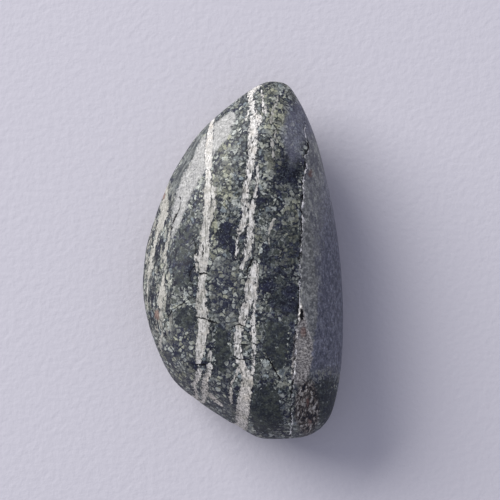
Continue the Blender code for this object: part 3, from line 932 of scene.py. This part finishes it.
# Painted reflection: a blue haze over the shoulder near the tip.
tip_reflection = w.step(patch_reach(w, loose, TIP_REFLECTION), 1.3, 0.5, 0.0, 0.60)
colour = w.blend(tip_reflection, colour, REFLECTION_BLUE)
report("tan band and veil")

# %% [markdown]
# ## Broken rock at the foot, streaks on the left
# Under the tan band the rock was crushed and set again, so dark, brown and cream splinters lie
# side by side. One noise, squeezed and cut at three levels, gives all four colours together. The
# left flank shows the edges of many thin sheets, so there the noise is drawn out much longer.

# %% Splinters at the foot, and streaks on the left flank
SPLINTER_TURN = -0.25
mixed = w.step(patch_reach(w, bent, DEBRIS), 1.25, 0.85)
slanted = w.join(w.math("MULTIPLY_ADD", spot.y, SPLINTER_TURN, spot.x), spot.y, 0.0)
streak = w.stretched(w.bend(slanted, 1.2, 0.9), 3.4, 1.5, 4.0, 0.68)
fragment = w.blend(w.step(streak, 0.42, 0.50), SEAM_BLACK, BROWN_GREY)
fragment = w.blend(w.step(streak, 0.52, 0.60), fragment, TAN)
fragment = w.blend(w.step(streak, 0.63, 0.68), fragment, CREAM_MIDDLE)
colour = w.blend(mixed, colour, fragment)
side = w.math("MULTIPLY", w.step(spot.x, -7.1, -7.8), w.step(w.math("ABSOLUTE", spot.y), 9.0, 7.0))
wisp = w.stretched(spot.place, 2.4, 0.42, 5.0, 0.66)
colour = w.blend(w.math("MULTIPLY", side, w.step(wisp, 0.50, 0.42, 0.0, 0.8)), colour, SEAM_BLACK)
colour = w.blend(w.math("MULTIPLY", side, w.step(wisp, 0.54, 0.59, 0.0, 0.8)), colour, FLANK_CREAM)
report("splinters and streaks")

# %% [markdown]
# ## Sides of the cream veins
# Depth inside the vein decides what is vein at all, and long thin noise added to it tears the
# sides, as the rock broke along its own grain. On the ridge the vein carries a painted highlight,
# and at the foot it is broad and whole, so the noise is weaker in both.

# %% Depth inside the cream veins
SIDE_RAGGEDNESS = 1.1
ragged = w.stretched(spot.place, 3.4, 1.7, 4.0, 0.60)
# Painted highlight: the mask of the ridge, where the vein is kept smooth.
ridge_highlight = w.step(patch_reach(w, spot.place, RIDGE_HIGHLIGHT), 1.3, 0.8)
edge = w.math("MULTIPLY_ADD", ragged, SIDE_RAGGEDNESS, -SIDE_RAGGEDNESS / 2)
at_foot = w.math("MULTIPLY", w.step(spot.y, -10.5, -12.5), w.step(spot.x, -2.6, -2.0))
calmer = w.math("MAXIMUM", ridge_highlight, w.math("MULTIPLY", at_foot, 0.7))
edge = w.math("MULTIPLY", edge, w.math("MULTIPLY_ADD", calmer, -0.6, 1.0))
flank_depth = w.math("ADD", spot.depth(w, FLANK_VEINS.values()), -0.10)
vein_depth = w.math("MAXIMUM", spot.depth(w, CROWN_VEINS), flank_depth)
vein_depth = w.math("ADD", vein_depth, edge)
vein = w.step(vein_depth, -0.04, 0.05)
report("depth inside the veins")

# %% [markdown]
# ## Fibre of the veins
# The veins are bundles of mineral fibre, bright where the fibre is whole and darker where it is
# thin or stained. One noise, squeezed along the stone, lays the fibres; a rounder one gathers the
# milky places. Plain cream with a bump would look like paint, because real fibre differs in tone.

# %% Fibre, milk and stains
fibre = w.stretched(spot.place, 5.0, 0.9, 3.0, 0.60)
clots = w.stretched(spot.place, 2.0, 1.5, 3.0)
milky = w.math("MULTIPLY_ADD", clots, 0.7, w.math("MULTIPLY", fibre, 0.8))
# Painted highlight: on the ridge the fibre is evened out, with fewer dark strokes and hollows.
milky = w.math("MULTIPLY_ADD", ridge_highlight, -0.05, milky)
milky = w.math("MULTIPLY_ADD", at_foot, 0.06, milky)
cream = w.blend(w.step(milky, 0.60, 0.84), CREAM_MIDDLE, CREAM)
cream = w.blend(w.step(w.noise(place, 1.0, 3.0), 0.54, 0.64, 0.0, 0.35), cream, BEIGE)
cream = w.blend(w.step(spot.y, -10.5, -13.0, 0.0, 0.40), cream, BEIGE)
stain = w.step(w.noise(bent, 0.9, 3.0), 0.54, 0.64)
stain = w.math("MULTIPLY", stain, w.step(spot.y, 9.0, 7.0, 0.0, 0.5))
cream = w.blend(stain, cream, STAIN_OLIVE)
weak = w.step(w.math("MULTIPLY_ADD", ridge_highlight, 0.08, fibre), 0.46, 0.38, 0.0, 0.85)
cream = w.blend(weak, cream, CREAM_SHADE)
report("fibre of the veins")

# %% [markdown]
# ## Hollows, strands and dark borders
# Fibre breaks out most easily near the sides of a vein, so the depth inside it, added to a noise,
# makes hollows likelier there. Thin dark strands follow the fibre. Outside the side, a dark line
# borders some of the vein, and on the flanks the whole vein is greener.

# %% Hollows, strands and borders
hollow = w.math("MULTIPLY_ADD", vein_depth, 0.26, w.stretched(spot.place, 3.6, 2.4))
hollow = w.math("MULTIPLY_ADD", ridge_highlight, 0.15, hollow)
hollow = w.math("MULTIPLY_ADD", at_foot, -0.015, hollow)
cream = w.blend(w.step(hollow, 0.455, 0.42, 0.0, 0.95), cream, GREEN_BLACK)
strand = w.math("ABSOLUTE", w.math("SUBTRACT", w.stretched(spot.place, 2.6, 0.40, 3.0), 0.5))
strand = w.math("MULTIPLY", w.step(strand, 0.030, 0.012), w.step(clots, 0.44, 0.54))
cream = w.blend(w.math("MULTIPLY", strand, 0.7), cream, OLIVE_BLACK)
greener = w.math("MULTIPLY", w.step(spot.x, -1.8, -3.0, 0.0, 0.30), w.step(spot.y, 10.0, 8.0))
greener = w.math("MULTIPLY", greener, w.step(spot.y, -11.0, -9.0))
greener = w.math("MAXIMUM", greener, w.step(spot.x, -6.6, -7.4, 0.0, 0.70))
greener = w.math("MAXIMUM", greener, w.step(spot.x, 2.1, 2.7, 0.0, 0.60))
cream = w.blend(greener, cream, FLANK_CREAM)
colour = w.blend(vein, colour, cream)
border = w.math("MULTIPLY", w.step(vein_depth, -0.16, -0.06), w.step(vein_depth, 0.03, -0.04))
border = w.math("MULTIPLY", border, w.step(clots, 0.44, 0.56))
colour = w.blend(w.math("MULTIPLY", border, 0.8), colour, SEAM_BLACK)
report("cream veins")

# %% [markdown]
# ## Rust and grit
# Iron in the rock has rusted in a few spots. Grit is the finest grain of the stone: everything has
# it, the flecked rock most and the veins least. Multiplying the colour by a power of noise keeps
# the hue and makes dark and light grains equally likely, which adding noise would not do on dark
# rock. The base of that power is how much lighter the palest grain is than the darkest.

# %% Rust spots, and grit over everything
GRIT_RANGE = 18.0
GRIT_RANGE_IN_VEINS = 5.0
GRIT_MORE_AT_FOOT = 8.0
rust = w.step(w.math("ADD", frayed, patch_reach(w, bent, RUST_SPOTS)), 1.3, 0.6, 0.0, 0.75)
colour = w.blend(rust, colour, RUST)
plain_flank = w.math("MULTIPLY", flank, w.math("MULTIPLY_ADD", tan_cover, -1.0, 1.0))
calm = w.math("MULTIPLY", silver_and_reflection_cover, 0.35)
calm = w.math("MAXIMUM", w.math("MULTIPLY", plain_flank, 0.50), calm)
less = w.math("MAXIMUM", vein, calm)
grit_range = w.math("MULTIPLY_ADD", less, GRIT_RANGE_IN_VEINS - GRIT_RANGE, GRIT_RANGE)
grit_range = w.math("MULTIPLY_ADD", at_foot, GRIT_MORE_AT_FOOT, grit_range)
grit = w.math("POWER", grit_range, w.math("SUBTRACT", rough, 0.5))
colour = w.shaded(colour, grit)
report("rust and grit")

# %% [markdown]
# ## Hair cracks
# A crack drawn straight from its table would be too smooth, because a real one turns at every
# grain. So the map is read at a place bent by noise, the same one that bends the cracks of the
# relief, and a slow noise closes each crack here and there.

# %% Hair cracks in the colour
crooked = StoneMap(w, w.bend(place, CRACK_WAVES_PER_MM, CRACK_WANDER, 3.0))
hair = w.math("MULTIPLY_ADD", w.noise(place, 4.0, 3.0), 0.20, -0.13)
hair = w.math("ADD", hair, crooked.hair_depth(w))
hair_here = w.step(w.noise(place, 1.3, 3.0), 0.37, 0.44)
hair_mask = w.math("MULTIPLY", w.step(hair, -0.05, 0.02), hair_here)
report("hair cracks")

# %% [markdown]
# ## The long crack
# The long crack is a black gap, painted shade in its groove, with a white lip on its right side,
# a painted highlight where the groove's wall faces the window; both come and go. They are two
# narrow ranges of one jittered distance from the crack's line, so lip and gap always keep side by
# side, which two separate lines would not do.

# %% Painted highlight on the lip, painted shade in the gap
LIP_WIDTHS = (0.06, 0.16)
GAP_START = -0.15
jitter = w.math("MULTIPLY_ADD", w.noise(place, 1.8, 4.0, 0.65), 0.9, -0.45)
off = w.math("ADD", from_crack, jitter)
below_top = w.step(spot.y, CRACK_TOP, CRACK_TOP - 0.4)
lip_here = w.step(w.noise(spot.place, 1.4, 4.0, 0.65), 0.44, 0.51)
thick = w.step(w.noise(place, 1.3, 3.0), 0.50, 0.66, *LIP_WIDTHS)
lip_highlight = w.math("MULTIPLY", w.step(off, -0.01, 0.03), w.step(off, w.math("ADD", thick, 0.05), thick))
lip_highlight = w.math("MULTIPLY", w.math("MULTIPLY", lip_highlight, lip_here), below_top)
# Painted highlight: the lit lip of the groove.
colour = w.blend(lip_highlight, colour, LIP_HIGHLIGHT)
slit = w.math("MULTIPLY", w.step(off, GAP_START, -0.07), w.step(off, 0.03, -0.02))
slit_here = w.step(w.noise(spot.place, 1.1, 3.0), 0.45, 0.56)
slit = w.math("MULTIPLY", w.math("MULTIPLY", slit, slit_here), below_top)
gap = w.math("MAXIMUM", slit, hair_mask)
pit_reach = w.math("ADD", frayed, patch_reach(w, bent, CRACK_PITS))
gap = w.math("MAXIMUM", gap, w.step(pit_reach, 1.1, 0.8))
# Painted shade: the slit's black; hair cracks and pits take the same black.
colour = w.blend(gap, colour, CRACK_AND_SHADE_BLACK)
report("cracks")

# %% [markdown]
# ## Polish
# A tumbled stone has a soft shine, not a mirror, and this one is dry. A clear coat would look wet,
# so the shine comes from the shader's own specular layer, set low, with a roughness that changes a
# little from grain to grain. A bump far finer than the mesh gives the fibres their silk.

# %% Polish
SMOOTHEST, ROUGHEST = 0.44, 0.60
SHINE = 0.20
SILK_DEPTH = 0.02 * MM
links = serpentine.node_tree.links
links.new(colour, shader.inputs["Base Color"])
links.new(w.step(rough, 0.3, 0.7, SMOOTHEST, ROUGHEST), shader.inputs["Roughness"])
shader.inputs["Specular IOR Level"].default_value = SHINE
bump_height = w.math("MULTIPLY_ADD", fibre, vein, w.math("MULTIPLY", gap, -3.0))
bump = w.node("ShaderNodeBump", {"Height": bump_height, "Distance": SILK_DEPTH, "Strength": 0.6})
links.new(bump.outputs[0], shader.inputs["Normal"])
report("polish")

# %% [markdown]
# ## Press the relief
# The tree is ready and so is the material it sets, so the modifier can be given its values, each by
# its socket's own identifier. The result is then taken as a plain mesh. Keeping the modifiers live
# would also work, but a plain mesh travels to any other program as it is.

# %% Press the relief and keep the plain mesh
relief = stone.modifiers.new("relief", "NODES")
relief.node_group = relief_tree()
for item in relief.node_group.interface.items_tree:
    if item.in_out == "INPUT" and item.name in RELIEF:
        relief[item.identifier] = RELIEF[item.name]
    if item.in_out == "INPUT" and item.name == "Material":
        relief[item.identifier] = serpentine
ready = stone.evaluated_get(bpy.context.evaluated_depsgraph_get())
finished = bpy.data.meshes.new_from_object(ready)
stone.modifiers.clear()
stone.data = finished
finished.shade_smooth()
print("finished mesh:", len(finished.vertices), "vertices,", len(finished.polygons), "faces")

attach(stone, "root")
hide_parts("serpentine_stone")
print("the stone rides on root and takes the place of serpentine_stone")

# %% [markdown]
# ## Floor
# The stone lies on a pale, nearly matt floor with a fine tooth, a little lilac. A smooth floor
# would make the shadow look drawn. The tooth could be real relief, but nothing shows it from the
# side, so one square with a bump in its shader is enough.

# %% Floor
FLOOR_HALF = 0.3
FLOOR_COLOUR = (0.60, 0.585, 0.63, 1)
TOOTH_PER_MM = 1.4
TOOTH_DEPTH = 0.06 * MM
corners = [(-1, -1), (1, -1), (1, 1), (-1, 1)]
corners = [(x * FLOOR_HALF, y * FLOOR_HALF, 0) for x, y in corners]
sheet_mesh = bpy.data.meshes.new("paper")
sheet_mesh.from_pydata(corners, [], [(0, 1, 2, 3)])
paper = bpy.data.objects.new("paper", sheet_mesh)
bpy.context.scene.collection.objects.link(paper)
paper_material = bpy.data.materials.new("pale_paper")
paper_material.use_nodes = True
p = Wiring(paper_material.node_tree)
paper_shader = paper_material.node_tree.nodes["Principled BSDF"]
paper_place = p.times(p.node("ShaderNodeTexCoord").outputs["Object"], 1 / MM)
tooth = p.noise(paper_place, TOOTH_PER_MM, 3.0)
paper_shader.inputs["Base Color"].default_value = FLOOR_COLOUR
paper_shader.inputs["Roughness"].default_value = 0.95
paper_shader.inputs["Specular IOR Level"].default_value = 0.1
paper_bump = p.node("ShaderNodeBump", {"Height": tooth, "Distance": TOOTH_DEPTH, "Strength": 0.8})
paper_material.node_tree.links.new(paper_bump.outputs[0], paper_shader.inputs["Normal"])
sheet_mesh.materials.append(paper_material)
print("floor:", 2 * FLOOR_HALF, "m wide")

# %% [markdown]
# ## Soft window light
# The shadow falls to the lower right and its edge is very soft, so the light is large, low and to
# the upper left, like a window. A sun lamp would cut the shadow too sharply.

# %% Soft window light
LIGHT_DISTANCE = 1.0
LIGHT_AZIMUTH = math.radians(140)
LIGHT_ELEVATION = math.radians(26)
WINDOW_POWER = 15.4
WINDOW_COLOUR = (1.0, 0.985, 0.97)
WINDOW_WIDTH, WINDOW_HEIGHT = 0.78, 0.59
window_data = bpy.data.lights.new("window", "AREA")
window_data.energy = WINDOW_POWER
window_data.color = WINDOW_COLOUR
window_data.shape = "RECTANGLE"
window_data.size = WINDOW_WIDTH
window_data.size_y = WINDOW_HEIGHT
window = bpy.data.objects.new("window", window_data)
bpy.context.scene.collection.objects.link(window)
window.location = Vector((math.cos(LIGHT_ELEVATION) * math.cos(LIGHT_AZIMUTH),
                          math.cos(LIGHT_ELEVATION) * math.sin(LIGHT_AZIMUTH),
                          math.sin(LIGHT_ELEVATION))) * LIGHT_DISTANCE
window.rotation_euler = (-window.location).to_track_quat("-Z", "Y").to_euler()
print("window at", [round(value, 2) for value in window.location], "m")

# %% [markdown]
# ## Room light
# Walls and ceiling send light back from every side. A weak blue-grey world light does the same and
# keeps the shaded flank from going black; a second lamp would cast a second shadow.

# %% Room light
ROOM_COLOUR = (0.80, 0.82, 1.0, 1)
ROOM_STRENGTH = 0.47
world = bpy.data.worlds.new("room")
bpy.context.scene.world = world
world.use_nodes = True
background = world.node_tree.nodes["Background"]
background.inputs["Color"].default_value = ROOM_COLOUR
background.inputs["Strength"].default_value = ROOM_STRENGTH
print("room light:", ROOM_STRENGTH)

# %% [markdown]
# ## Camera straight above
# The picture was taken from above with a long lens, so both sides of the stone show alike. An
# orthographic camera would be close, but a far perspective camera keeps the slight narrowing of a
# real lens. The focal length follows from the size of one pixel at the height of the stone's rim.

# %% Camera straight above
CAMERA_HEIGHT = 300.0
RIM_PLANE = 5.0
AIM = (0.74, 1.10)
IMAGE_PIXELS = 500
MM_PER_PIXEL = 0.1058
SENSOR_WIDTH = 36.0
NEAREST = 10.0
camera_data = bpy.data.cameras.new("camera")
camera = bpy.data.objects.new("camera", camera_data)
bpy.context.scene.collection.objects.link(camera)
camera.location = (AIM[0] * MM, AIM[1] * MM, (RIM_PLANE + CAMERA_HEIGHT) * MM)
camera_data.sensor_width = SENSOR_WIDTH
camera_data.lens = SENSOR_WIDTH * CAMERA_HEIGHT / (IMAGE_PIXELS * MM_PER_PIXEL)
camera_data.clip_start = NEAREST * MM
bpy.context.scene.camera = camera
bpy.context.scene.view_settings.view_transform = "Standard"
print("focal length:", round(camera_data.lens, 1), "mm")

# %% [markdown]
# ## Sizes
# Apart from the closed stretches of the long crack, which are lifted, the relief only presses
# inward, each form by a tenth of a millimetre at most. So the finished stone must fill the same
# box as the packed one.
